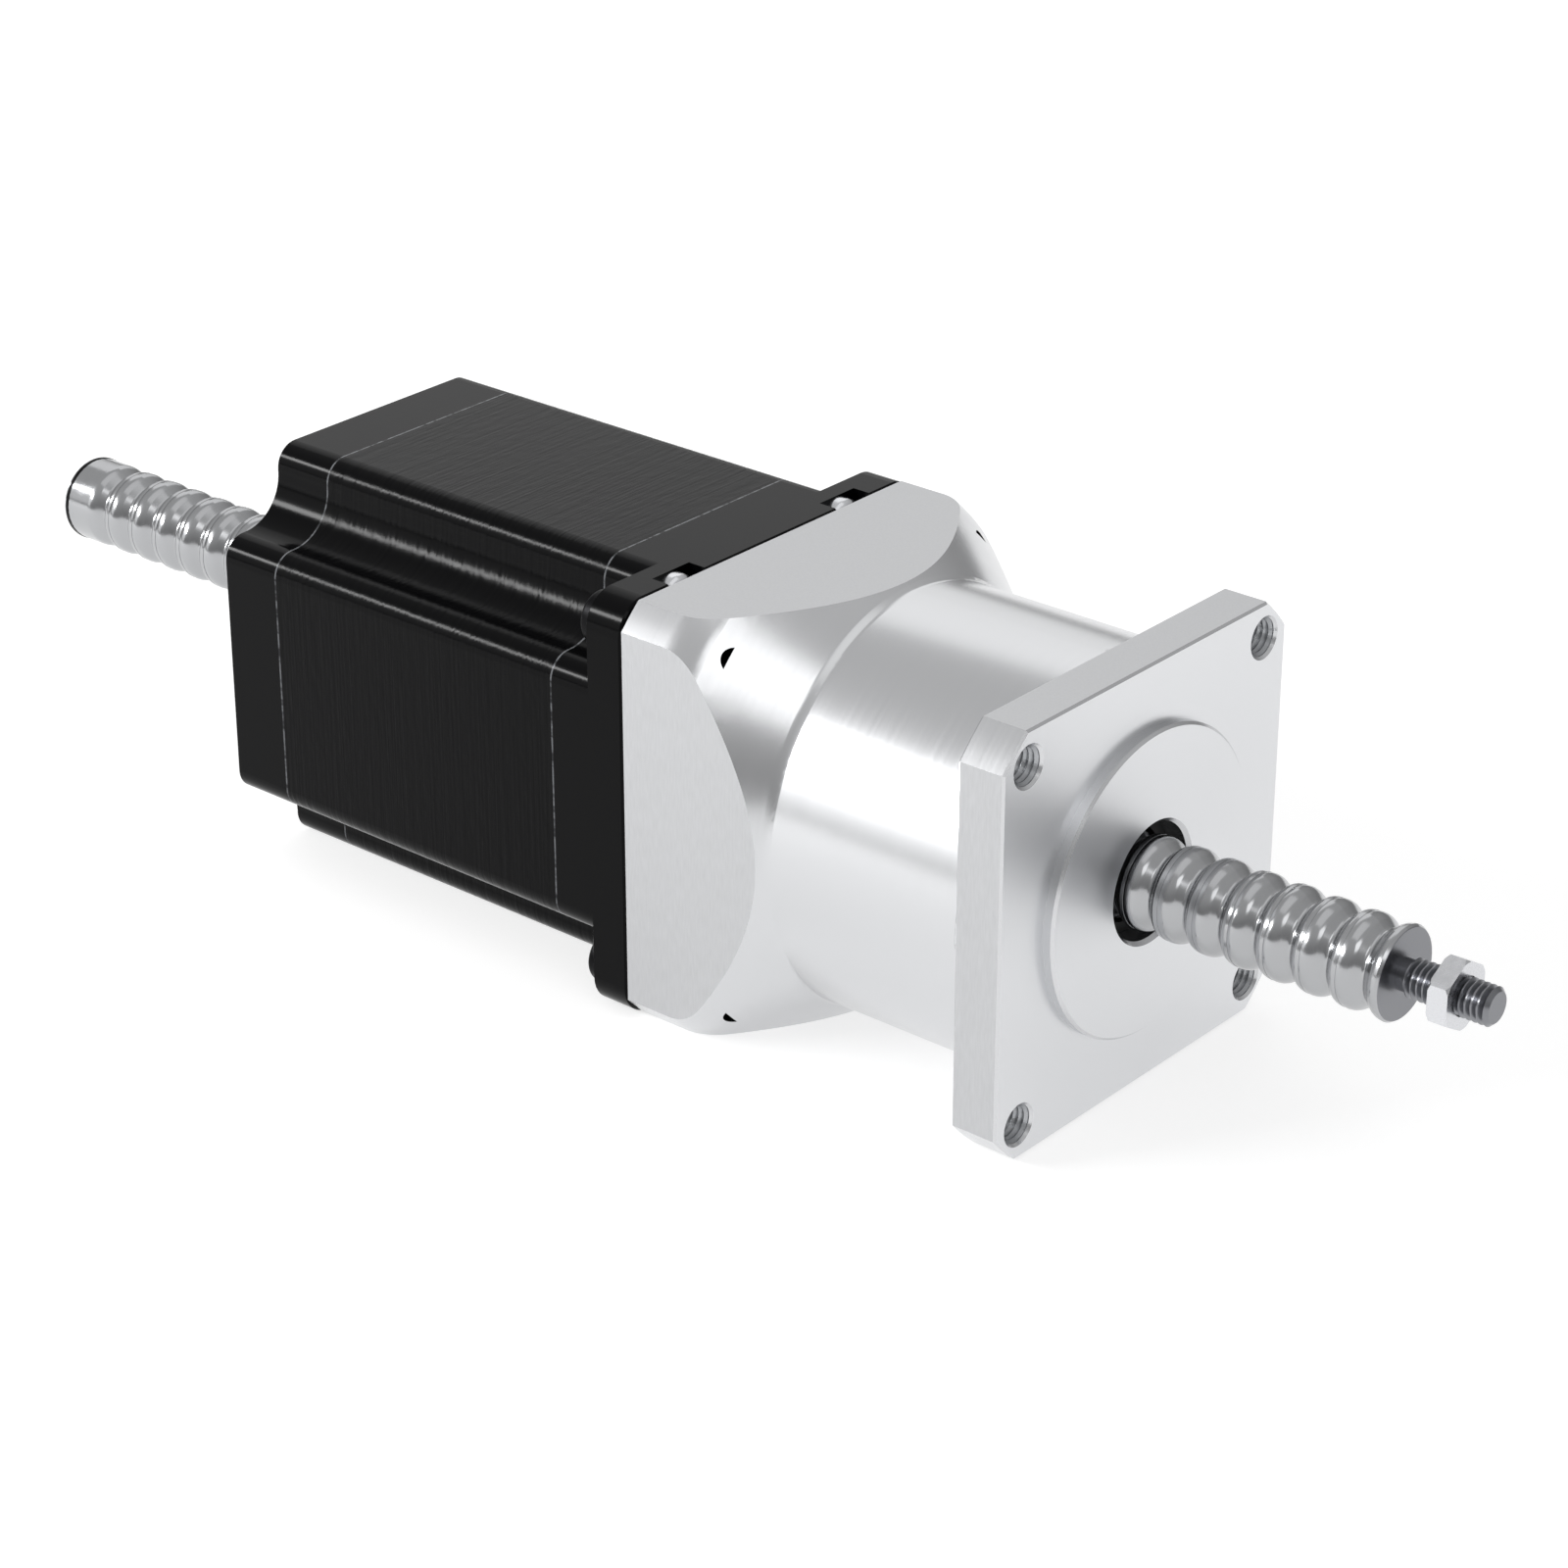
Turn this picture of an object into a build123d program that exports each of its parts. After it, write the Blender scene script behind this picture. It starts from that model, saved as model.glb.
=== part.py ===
from build123d import *
import math
import os

# Ball screw stepper motor, in millimetres. The hollow rotor turns a ball nut in two large bearings,
# and the nut drives the screw along +X without turning it. X runs along the screw, +Z is up, and
# the origin is on the screw's axis at the front face of the housing's flange.

# Lengths along the axis
flange_thickness = 6.6
neck_length = 35.85
housing_length = 58.3
cap_flange_thickness = 5.7
cap_body_length = 6.0
stack_length = 49.1
rear_cap_length = 9.55

# Outlines across the axis
motor_size = 57.0
cap_flange_corner_r = 4.5
notch_depth = 10.1
notch_outer_r = 3.2
notch_straight = 0.4
flange_step = 0.3
flange_corner_margin = 3.67
block_corner_margin = 4.77
neck_step = 0.5

# Front housing
cone_angle = 40.0
cone_foot_round = 2.0
cone_top_round = 8.0
flange_foot_round = 0.4
flange_foot_margin = 0.05
pilot_r = 20.0
pilot_height = 1.5
pilot_chamfer = 0.35
edge_break = 0.3
front_wall = 7.0
passage_clearance = 1.6
passage_chamfer = 0.5
nut_chamber_clearance = 1.2

# Bolts of the flange and of the motor, on one square pattern
bolt_edge = 4.93
flange_hole_r = 2.5
flange_hole_countersink = 0.35
mounting_screw_r = 2.0
mounting_hole_clearance = 0.2
mounting_hole_end = 8.35
mounting_tip_gap = 5.8
mounting_head_r = 3.5
mounting_head_height = 2.4
mounting_head_round = 0.6
mounting_socket = 2.5
mounting_socket_depth = 1.4
thread_fit = 0.02

# Tie screws that hold the caps and the stack together
tie_notch_gap = 2.4
tie_edge = 3.0
tie_screw_r = 1.5
tie_hole_clearance = 0.1
tie_head_r = 2.8
tie_head_height = 2.2
tie_head_round = 1.1
tie_pocket_r = 3.4
tie_pocket_depth = 2.8
tie_thread_length = 6.0
tie_slot_width = 0.8
tie_slot_depth = 0.9

# Caps
cap_bore_step = 0.1
cap_wall = 3.0
cap_spigot_length = 1.8
cap_opening_clearance = 1.1
spigot_clearance = 0.05
rear_floor = 4.35
rear_boss_wall = 3.2
rear_passage_clearance = 1.4
rear_wall = 2.35
cap_edge_break = 0.25

# Stator
yoke_thickness = 4.3
winding_band = 9.2
stator_tooth_height = 0.6
shoe_thickness = 1.9
join_overlap = 0.5
pole_width = 5.0
poles = 8
teeth_per_pole = 5
stator_tooth_pitch = 7.2
tooth_share = 0.5
coil_gap = 0.3
coil_thickness = 2.4
coil_shoe_gap = 0.5
coil_back_gap = 1.4
insulator_thickness = 0.8
insulator_rim_width = 0.7
insulator_rim_height = 3.6
insulator_overhang = 0.2

# Rotor
air_gap = 0.1
rotor_teeth = 50
rotor_tooth_height = 0.7
shaft_r = 8.5
shaft_bore_clearance = 0.8
shaft_flange_step = 0.1
shaft_flange_thickness = 4.0
rotor_front_gap = 2.0
rotor_rear_gap = 2.1
magnet_length = 3.0
magnet_step = 1.3
shaft_end_gap = 0.3

# Ball nut
nut_flange_thickness = 7.0
nut_nose_r = 12.0
nut_nose_length = 3.0
nut_bore_clearance = 0.3
nut_length = 38.0
track_r = 1.27
ball_clearance = 0.15
wiper_seat_r = 8.5
wiper_width = 2.0
wiper_clearance = 0.15
circuits = 3
circuit_spacing = 8.0
balls_per_circuit = 13
ball_arc = 300.0
screw_ball_r = 1.19
deflector_width = 3.2
deflector_length = 7.6
deflector_step = 0.1
deflector_depth = 5.9
seat_clearance = 0.02
clamp_head_clearance = 0.05
clamp_screw_r = 1.25
clamp_head_r = 1.95
clamp_head_height = 2.2
clamp_screw_reach = 6.0
clamp_socket = 2.0
clamp_socket_depth = 1.2

# Nut bearings
nut_bearing_width = 12.0
nut_bearing_bore_r = 12.5
nut_bearing_ball_r = 3.15
nut_bearing_ball_count = 12
nut_bearing_land_step = 2.2
race_clearance = 0.15
housing_bore_r = 23.5
retainer_gap = 4.5
retainer_thickness = 4.0
retainer_band = 4.0
locknut_thickness = 3.5
locknut_band = 3.0
spanner_slot_width = 4.0
spanner_slot_depth = 1.5

# Rear bearing
rear_bearing_width = 5.0
rear_bearing_outer_r = 13.0
rear_bearing_ball_share = 0.2667
rear_bearing_ball_count = 16
rear_bearing_land_share = 0.189
rear_race_clearance = 0.05
rear_bearing_depth = 1.4
washer_bore_r = 10.5
bush_length = 2.25
cage_half_thickness = 0.9
cage_half_width = 3.9
rear_cage_share = 0.1
rear_cage_rim = 0.4
cage_pocket_clearance = 0.1

# Front wiper
front_wiper_length = 3.0
front_wiper_inset = 2.0

# Lead inlet on the far side of the rear cap
inlet_length = 3.7
inlet_height = 9.8
inlet_corner_r = 1.5
inlet_wall = 0.6
inlet_lip = 0.6
inlet_gap = 0.8

# Ball screw
lead = 5.0
screw_r = 6.0
groove_depth = 1.3
groove_r = 0.5
crown_r = 2.0
crown_shift = 0.1
crown_land_shift = 0.4
crown_land_width = 0.4
crown_land_drop = 0.03
crown_land_step = 0.05
shoulder_r = 1.1
first_groove_inset = 2.8
screw_front_x = 37.0
screw_length = 225.5
front_edge_chamfer = 0.3
rear_collar_length = 2.2
rear_collar_chamfer = 0.5
stop_ring_width = 0.5
stop_ring_inset = 0.7
stop_ring_rise = 0.05
stop_groove_depth = 0.8
stop_ring_gap = 20.0

# Stud and nut on the screw's front end
stud_length = 12.3
stud_r = 2.45
stud_root_r = 1.96
stud_pitch = 0.8
stud_flat = 0.1
stud_neck_length = 1.0
stud_neck_r = 2.0
stud_chamfer = 0.5
nut_across_flats = 8.0
stud_nut_thickness = 2.7
stud_nut_gap = 5.4
stud_nut_bore_r = 2.5
stud_nut_chamfer = 0.35

# Places along the axis that follow from the sizes above
housing_rear_x = -housing_length
cap_flange_rear_x = housing_rear_x - cap_flange_thickness
cone_foot_x = -neck_length
mounting_hole_front_x = cone_foot_x - mounting_hole_end
mounting_tip_x = mounting_hole_front_x - mounting_tip_gap
stack_front_x = cap_flange_rear_x - cap_body_length
stack_rear_x = stack_front_x - stack_length
motor_rear_x = stack_rear_x - rear_cap_length
bearing_rear_x = housing_rear_x + cap_spigot_length + retainer_gap + retainer_thickness
bearing_front_x = bearing_rear_x + 2 * nut_bearing_width
nut_flange_front_x = bearing_front_x + nut_flange_thickness
nut_front_x = nut_flange_front_x + nut_nose_length
nut_rear_x = nut_front_x - nut_length
shaft_flange_rear_x = nut_rear_x - shaft_flange_thickness
cap_front_wall_x = housing_rear_x - cap_wall
rear_floor_x = motor_rear_x + rear_floor
rear_bearing_front_x = stack_rear_x - rear_bearing_depth
rear_bearing_rear_x = rear_bearing_front_x - rear_bearing_width
rear_seat_x = motor_rear_x + rear_wall
shaft_rear_x = rear_seat_x + shaft_end_gap
rotor_front_x = stack_front_x - rotor_front_gap
rotor_rear_x = stack_rear_x + rotor_rear_gap
magnet_front_x = (rotor_front_x + rotor_rear_x + magnet_length) / 2
magnet_rear_x = magnet_front_x - magnet_length
screw_rear_x = screw_front_x - screw_length
thread_rear_x = screw_rear_x + rear_collar_length
stud_tip_x = screw_front_x + stud_length

# Radii and places across the axis that follow from the sizes above
motor_half = motor_size / 2
bolt_half = motor_half - bolt_edge
bolt_circle_r = math.hypot(bolt_half, bolt_half)
flange_half = motor_half - flange_step
flange_corner_r = bolt_circle_r + flange_corner_margin
block_corner_r = bolt_circle_r + block_corner_margin
neck_r = flange_half - neck_step
notch_half_flat = motor_half - notch_depth
notch_inner_r = notch_depth - notch_outer_r - notch_straight
tie_half_width = notch_half_flat - tie_notch_gap
tie_half_height = motor_half - tie_edge
back_iron_r = motor_half - yoke_thickness
cap_bore_r = back_iron_r + cap_bore_step
insulator_rim_r = back_iron_r - insulator_rim_width
coil_outer_r = back_iron_r - coil_back_gap
stator_bore_r = back_iron_r - winding_band
shoe_r = stator_bore_r + shoe_thickness
coil_inner_r = shoe_r + coil_shoe_gap
rotor_r = stator_bore_r - air_gap
magnet_r = rotor_r - magnet_step
ball_circle_r = screw_r + ball_clearance + screw_ball_r
wiper_bore_r = screw_r + wiper_clearance
nut_bore_r = screw_r + nut_bore_clearance
deflector_inner_r = nut_bore_r + deflector_step
passage_r = screw_r + passage_clearance
rear_passage_r = screw_r + rear_passage_clearance
shaft_bore_r = screw_r + shaft_bore_clearance
stop_ring_r = screw_r + stop_ring_rise
stop_groove_r = screw_r - stop_groove_depth
nut_bearing_outer_r = housing_bore_r - seat_clearance
nut_bearing_pitch_r = (housing_bore_r + nut_bearing_bore_r) / 2
nut_bearing_inner_land_r = nut_bearing_pitch_r - nut_bearing_land_step
nut_bearing_outer_land_r = nut_bearing_pitch_r + nut_bearing_land_step
nut_flange_r = nut_bearing_inner_land_r
nut_chamber_r = nut_flange_r + nut_chamber_clearance
retainer_bore_r = housing_bore_r - retainer_band
locknut_r = nut_bearing_bore_r + locknut_band
shaft_flange_r = nut_bearing_bore_r - shaft_flange_step
cap_opening_r = shaft_flange_r + cap_opening_clearance
clamp_screw_circle_r = shaft_r + clamp_head_r + clamp_head_clearance
rear_bearing_pitch_r = (rear_bearing_outer_r + shaft_r) / 2
rear_bearing_band = rear_bearing_outer_r - shaft_r
rear_bearing_ball_r = rear_bearing_band * rear_bearing_ball_share
rear_bearing_land_step = rear_bearing_band * rear_bearing_land_share
rear_cage_half_thickness = rear_bearing_band * rear_cage_share
rear_cage_half_width = rear_bearing_ball_r + rear_cage_rim
rear_bearing_inner_land_r = rear_bearing_pitch_r - rear_bearing_land_step
rear_bearing_outer_land_r = rear_bearing_pitch_r + rear_bearing_land_step
rear_boss_r = rear_bearing_outer_r + rear_boss_wall

bolt_places = [(y, z) for y in (-bolt_half, bolt_half) for z in (-bolt_half, bolt_half)]
tie_places = [(y, z) for y in (-tie_half_width, tie_half_width) for z in (-tie_half_height, tie_half_height)]


# Plain shapes on the screw's axis

def rod(rear_x, front_x, radius, y=0.0, z=0.0):
    """A round bar along X."""
    disc = Pos(y, z) * Circle(radius)
    return extrude(Plane.YZ.offset(rear_x) * disc, amount=front_x - rear_x)


def ring(rear_x, front_x, outer_r, inner_r):
    """A plain ring about the axis."""
    flat = Circle(outer_r) - Circle(inner_r)
    return extrude(Plane.YZ.offset(rear_x) * flat, amount=front_x - rear_x)


def prism(outline, rear_x, front_x):
    """A flat outline, drawn with Y to the right and Z up, stretched along X."""
    return extrude(Plane.YZ.offset(rear_x) * outline, amount=front_x - rear_x)


def turned(points, radii):
    """A closed half-profile of (x, r) points with its corners rounded, turned about the axis."""
    outline = FilletPolyline(*points, radius=radii, close=True)
    half = Plane.XZ * make_face(outline)
    return revolve(half, Axis.X, 360)


def tapered_rod(rear_x, front_x, radius, rear_chamfer, front_chamfer):
    """A round bar along X with a 45 degree chamfer at each end."""
    points = [(rear_x, 0), (rear_x, radius - rear_chamfer)]
    if rear_chamfer > 0:
        points.append((rear_x + rear_chamfer, radius))
    points.append((front_x - front_chamfer, radius))
    if front_chamfer > 0:
        points.append((front_x, radius - front_chamfer))
    points.append((front_x, 0))
    half = Plane.XZ * make_face(Polyline(*points, close=True))
    return revolve(half, Axis.X, 360)


def ball(radius, x, ring_r, angle):
    """A ball on a circle about the axis, at an angle counted from +Y towards +Z."""
    turn = math.radians(angle)
    return Pos(x, ring_r * math.cos(turn), ring_r * math.sin(turn)) * Sphere(radius)


def ball_ring(radius, x, ring_r, count):
    """Evenly spaced balls on a circle about the axis."""
    return [ball(radius, x, ring_r, 360 * i / count) for i in range(count)]


def sector(inner_r, outer_r, middle, span):
    """A flat piece of a ring, between two radii, about the angle in the middle of its span."""
    start = middle - span / 2
    end = middle + span / 2
    corners = [Vector(r, 0).rotate(Axis.Z, a) for r, a in
               ((outer_r, start), (outer_r, end), (inner_r, end), (inner_r, start))]
    outer_arc = ThreePointArc(corners[0], Vector(outer_r, 0).rotate(Axis.Z, middle), corners[1])
    inner_arc = ThreePointArc(corners[2], Vector(inner_r, 0).rotate(Axis.Z, middle), corners[3])
    sides = [Line(corners[1], corners[2]), Line(corners[3], corners[0])]
    return make_face([outer_arc, sides[0], inner_arc, sides[1]])


def sunk_socket(x, depth, across_flats, y, z):
    """A hexagonal key socket sunk from the face at x towards +X."""
    hexagon = Pos(y, z) * RegularPolygon(across_flats / 2, 6, major_radius=False)
    return prism(hexagon, x, x + depth)


# Outlines that several pieces share

def notched_square():
    """The motor's outline: a square with a rounded notch at each corner for a mounting screw."""
    outer = motor_half
    inner = notch_half_flat
    points = []
    radii = []
    for turn in range(4):
        for y, z, r in ((outer, -inner, notch_outer_r), (outer, inner, notch_outer_r), (inner, inner, notch_inner_r)):
            place = Vector(y, z).rotate(Axis.Z, 90 * turn)
            points.append((place.X, place.Y))
            radii.append(r)
    return make_face(FilletPolyline(*points, radius=radii, close=True))


def bevelled(body, amount, *faces_x):
    """The body with the outermost edges chamfered on each face across the axis that is named."""
    for x in faces_x:
        face = body.faces().filter_by(Axis.X).group_by(lambda f: abs(f.center().X - x))[0].sort_by(SortBy.AREA)[-1]
        body = chamfer(face.outer_wire().edges(), amount)
    return body


# Front housing

def housing_outline():
    """The housing's turned outside: block, rounded cone, neck and foot of the flange."""
    rise = block_corner_r - neck_r
    cone_top_x = cone_foot_x - rise / math.tan(math.radians(cone_angle))
    foot_r = neck_r + flange_foot_round + flange_foot_margin
    points = [
        (housing_rear_x, 0),
        (housing_rear_x, block_corner_r),
        (cone_top_x, block_corner_r),
        (cone_foot_x, neck_r),
        (-flange_thickness, neck_r),
        (-flange_thickness, foot_r),
        (-flange_thickness / 2, foot_r),
        (-flange_thickness / 2, 0),
    ]
    radii = [0, 0, cone_top_round, cone_foot_round, flange_foot_round, 0, 0, 0]
    return turned(points, radii)


def front_housing():
    """The aluminium housing: square block, cone, neck, flange and pilot, with the bearing bore."""
    bar = prism(Rectangle(motor_size, motor_size), housing_rear_x, 0)
    block = bevelled(housing_outline() & bar, edge_break, housing_rear_x)
    flange = prism(Rectangle(2 * flange_half, 2 * flange_half) & Circle(flange_corner_r), -flange_thickness, 0)
    flange = bevelled(flange, edge_break, -flange_thickness, 0)
    body = block + flange + tapered_rod(-flange_thickness / 2, pilot_height, pilot_r, 0, pilot_chamfer)
    cuts = [
        rod(housing_rear_x, bearing_front_x, housing_bore_r),
        rod(bearing_front_x, -front_wall, nut_chamber_r),
        rod(-front_wall, pilot_height, passage_r),
        Cone(passage_r, passage_r + passage_chamfer, passage_chamfer).moved(
            Location(Plane.YZ.offset(pilot_height - passage_chamfer / 2))),
    ]
    for y, z in bolt_places:
        cuts.append(rod(housing_rear_x, mounting_hole_front_x, mounting_screw_r + thread_fit, y, z))
        cuts.append(rod(-flange_thickness, 0, flange_hole_r, y, z))
        mouth = Cone(flange_hole_r, flange_hole_r + flange_hole_countersink, flange_hole_countersink)
        cuts.append(mouth.moved(Location(Plane.YZ.offset(-flange_hole_countersink / 2)) * Pos(y, z)))
    return body - cuts


def front_wiper():
    """The black wiper in the housing's front passage."""
    front_x = -front_wiper_inset
    return ring(front_x - front_wiper_length, front_x, passage_r - seat_clearance, wiper_bore_r)


# Bearings

def raced_ring(rear_x, width, outer_r, inner_r, pitch_r, race_r):
    """A bearing ring with the balls' groove turned into it."""
    groove = Torus(pitch_r, race_r).moved(Location(Plane.YZ.offset(rear_x + width / 2)))
    return ring(rear_x, rear_x + width, outer_r, inner_r) - groove


def cage(middle_x, half_width, pitch_r, half_thickness, ball_r, count):
    """A bearing cage: a band through the balls with a drilled pocket for each."""
    band = ring(middle_x - half_width, middle_x + half_width, pitch_r + half_thickness, pitch_r - half_thickness)
    plane = Plane((middle_x, 0, 0), x_dir=(1, 0, 0), z_dir=(0, 1, 0))
    drill = extrude(plane * Circle(ball_r + cage_pocket_clearance), amount=pitch_r + 2 * half_thickness)
    return band - [Rot(360 * i / count, 0, 0) * drill for i in range(count)]


def nut_bearing_rears():
    """Where the rear faces of the two nut bearings lie."""
    return [bearing_front_x - nut_bearing_width, bearing_rear_x]


def nut_bearing_outer_rings():
    race_r = nut_bearing_ball_r + race_clearance
    return [raced_ring(x, nut_bearing_width, nut_bearing_outer_r, nut_bearing_outer_land_r,
                       nut_bearing_pitch_r, race_r) for x in nut_bearing_rears()]


def nut_bearing_inner_rings():
    race_r = nut_bearing_ball_r + race_clearance
    return [raced_ring(x, nut_bearing_width, nut_bearing_inner_land_r, nut_bearing_bore_r,
                       nut_bearing_pitch_r, race_r) for x in nut_bearing_rears()]


def nut_bearing_balls():
    balls = []
    for x in nut_bearing_rears():
        balls += ball_ring(nut_bearing_ball_r, x + nut_bearing_width / 2, nut_bearing_pitch_r, nut_bearing_ball_count)
    return balls


def nut_bearing_cages():
    return [cage(x + nut_bearing_width / 2, cage_half_width, nut_bearing_pitch_r, cage_half_thickness,
                 nut_bearing_ball_r, nut_bearing_ball_count) for x in nut_bearing_rears()]


def spanner_slots(rear_x, radius, reach):
    """Four slots across a ring's rear face, for a pin spanner."""
    slots = []
    for turn in range(4):
        slot = Pos(radius, 0) * Rectangle(2 * reach, spanner_slot_width)
        slots.append(prism(Rot(0, 0, 90 * turn) * slot, rear_x, rear_x + spanner_slot_depth))
    return slots


def bearing_retainer():
    """The threaded ring that holds the outer rings against the housing's shoulder."""
    rear_x = bearing_rear_x - retainer_thickness
    body = ring(rear_x, bearing_rear_x, nut_bearing_outer_r, retainer_bore_r)
    return body - spanner_slots(rear_x, retainer_bore_r, spanner_slot_depth)


def bearing_locknut():
    """The threaded ring on the ball nut that clamps the inner rings against the nut's flange."""
    rear_x = bearing_rear_x - locknut_thickness
    body = ring(rear_x, bearing_rear_x, locknut_r, nut_bearing_bore_r)
    return body - spanner_slots(rear_x, locknut_r, spanner_slot_depth)


def rear_bearing_outer_ring():
    race_r = rear_bearing_ball_r + rear_race_clearance
    return raced_ring(rear_bearing_rear_x, rear_bearing_width, rear_bearing_outer_r, rear_bearing_outer_land_r,
                      rear_bearing_pitch_r, race_r)


def rear_bearing_inner_ring():
    race_r = rear_bearing_ball_r + rear_race_clearance
    return raced_ring(rear_bearing_rear_x, rear_bearing_width, rear_bearing_inner_land_r, shaft_r,
                      rear_bearing_pitch_r, race_r)


def rear_bearing_balls():
    middle_x = rear_bearing_rear_x + rear_bearing_width / 2
    return ball_ring(rear_bearing_ball_r, middle_x, rear_bearing_pitch_r, rear_bearing_ball_count)


def rear_bearing_cage():
    middle_x = rear_bearing_rear_x + rear_bearing_width / 2
    return cage(middle_x, rear_cage_half_width, rear_bearing_pitch_r, rear_cage_half_thickness,
                rear_bearing_ball_r, rear_bearing_ball_count)


def rear_wave_washer():
    """The spring washer behind the rear bearing, pressed flat."""
    return ring(rear_seat_x, rear_bearing_rear_x, rear_bearing_outer_r - seat_clearance, washer_bore_r)


def rear_guide_bush():
    """The plastic bush in the rear wall that keeps the screw central."""
    front_x = motor_rear_x + bush_length
    return ring(motor_rear_x, front_x, rear_passage_r - seat_clearance, wiper_bore_r)


# Motor housing

def front_end_cap():
    """The black front cap: mounting plate with pockets for the tie screws, and a notched body."""
    plate = prism(RectangleRounded(motor_size, motor_size, cap_flange_corner_r), cap_flange_rear_x, housing_rear_x)
    plate = bevelled(plate, cap_edge_break, cap_flange_rear_x, housing_rear_x)
    body = prism(notched_square(), stack_front_x, cap_flange_rear_x + cap_wall / 2)
    spigot = rod(cap_front_wall_x, housing_rear_x + cap_spigot_length, housing_bore_r - spigot_clearance)
    cuts = [
        rod(stack_front_x, cap_front_wall_x, cap_bore_r),
        rod(cap_front_wall_x, housing_rear_x + cap_spigot_length, cap_opening_r),
    ]
    for y, z in bolt_places:
        cuts.append(rod(stack_front_x, housing_rear_x, mounting_screw_r + mounting_hole_clearance, y, z))
    for y, z in tie_places:
        cuts.append(rod(stack_front_x, housing_rear_x, tie_screw_r + tie_hole_clearance, y, z))
        cuts.append(tie_pocket(y, z))
    return plate + body + spigot - cuts


def tie_pocket(y, z):
    """A round pocket for a tie screw's head, open to the top or bottom of the cap."""
    way_out = math.copysign(motor_half, z)
    floor_x = housing_rear_x - tie_pocket_depth
    round_end = Pos(y, z) * Circle(tie_pocket_r)
    mouth = Pos(y, (z + way_out) / 2) * Rectangle(2 * tie_pocket_r, abs(way_out - z))
    return prism(round_end + mouth, floor_x, housing_rear_x)


def mounting_screws():
    """Four black screws behind the front cap's plate, with a low round head and a key socket."""
    screws = []
    head_rear_x = cap_flange_rear_x - mounting_head_height
    for y, z in bolt_places:
        head = rod(head_rear_x, cap_flange_rear_x, mounting_head_r, y, z)
        head = fillet(head.edges().group_by(Axis.X)[0], mounting_head_round)
        shank = rod(cap_flange_rear_x, mounting_tip_x, mounting_screw_r, y, z)
        screws.append(head + shank - sunk_socket(head_rear_x, mounting_socket_depth, mounting_socket, y, z))
    return screws


def tie_screws():
    """Four long screws with a domed slotted head, from the front cap into the rear cap."""
    screws = []
    head_rear_x = housing_rear_x - tie_pocket_depth
    head_front_x = head_rear_x + tie_head_height
    for y, z in tie_places:
        head = rod(head_rear_x, head_front_x, tie_head_r, y, z)
        head = fillet(head.edges().group_by(Axis.X)[-1], tie_head_round)
        shank = rod(stack_rear_x - tie_thread_length, head_rear_x, tie_screw_r, y, z)
        slot = Pos(y, z) * Rectangle(2 * tie_head_r, tie_slot_width)
        screws.append(head + shank - prism(slot, head_front_x - tie_slot_depth, head_front_x))
    return screws


def rear_end_cap():
    """The black rear cap, with a boss for the rear bearing and the inlet for the leads."""
    body = prism(notched_square(), motor_rear_x, stack_rear_x)
    body = bevelled(body, cap_edge_break, motor_rear_x)
    body -= ring(rear_floor_x, stack_rear_x, cap_bore_r, rear_boss_r)
    cuts = [
        rod(rear_bearing_front_x, stack_rear_x, rear_boss_r),
        rod(rear_seat_x, rear_bearing_front_x, rear_bearing_outer_r + seat_clearance),
        rod(motor_rear_x, rear_seat_x, rear_passage_r),
        inlet_block(0, (cap_bore_r + rear_boss_r) / 2, motor_size),
    ]
    for y, z in tie_places:
        cuts.append(rod(stack_rear_x - tie_thread_length, stack_rear_x, tie_screw_r + thread_fit, y, z))
    return body - cuts


def inlet_block(grow, near_y, far_y):
    """A rounded block in the rear cap's far side where the leads come out."""
    middle_x = stack_rear_x - inlet_gap - inlet_length / 2
    flat = RectangleRounded(inlet_length + 2 * grow, inlet_height + 2 * grow, inlet_corner_r + grow)
    return extrude(Plane((middle_x, near_y, 0), x_dir=(1, 0, 0), z_dir=(0, 1, 0)) * flat, amount=far_y - near_y)


def lead_grommet():
    """The rubber grommet in the lead inlet."""
    lip_y = motor_half + inlet_lip
    body = inlet_block(-seat_clearance, cap_bore_r + inlet_wall, lip_y)
    lip = inlet_block(inlet_lip, motor_half, lip_y)
    return body + lip - inlet_block(-inlet_wall, cap_bore_r, lip_y)


# Stator

def stator_section():
    """The stack's outline with its poles, their toothed shoes and the tie screws' holes."""
    pole_length = back_iron_r - shoe_r + 2 * join_overlap
    shoe_span = stator_tooth_pitch * (teeth_per_pole - 1 + tooth_share)
    tooth_slot = stator_tooth_pitch * (1 - tooth_share)
    section = notched_square() - Circle(back_iron_r)
    iron = []
    slots = []
    for pole in range(poles):
        turn = 360 * pole / poles
        bar = Pos((shoe_r + back_iron_r) / 2, 0) * Rectangle(pole_length, pole_width)
        iron.append(Rot(0, 0, turn) * bar)
        iron.append(sector(stator_bore_r, shoe_r, turn, shoe_span))
        for gap in range(teeth_per_pole - 1):
            place = turn + stator_tooth_pitch * (gap + 1 - teeth_per_pole / 2)
            slots.append(sector(stator_bore_r - join_overlap, stator_bore_r + stator_tooth_height, place, tooth_slot))
    holes = [Pos(y, z) * Circle(tie_screw_r + tie_hole_clearance) for y, z in tie_places]
    return section + iron - slots - holes


def stator_laminations():
    """The laminated stack, black outside, with eight toothed poles."""
    return prism(stator_section(), stack_rear_x, stack_front_x)


def pole_block(pole, half_width, over, corner_r):
    """A rounded block about one pole, reaching past both ends of the stack by the same amount."""
    middle_x = (stack_front_x + stack_rear_x) / 2
    plane = Plane((middle_x, coil_inner_r, 0), x_dir=(1, 0, 0), z_dir=(0, 1, 0))
    flat = RectangleRounded(stack_length + 2 * over, 2 * half_width, corner_r)
    return Rot(360 * pole / poles, 0, 0) * extrude(plane * flat, amount=coil_outer_r - coil_inner_r)


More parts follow.
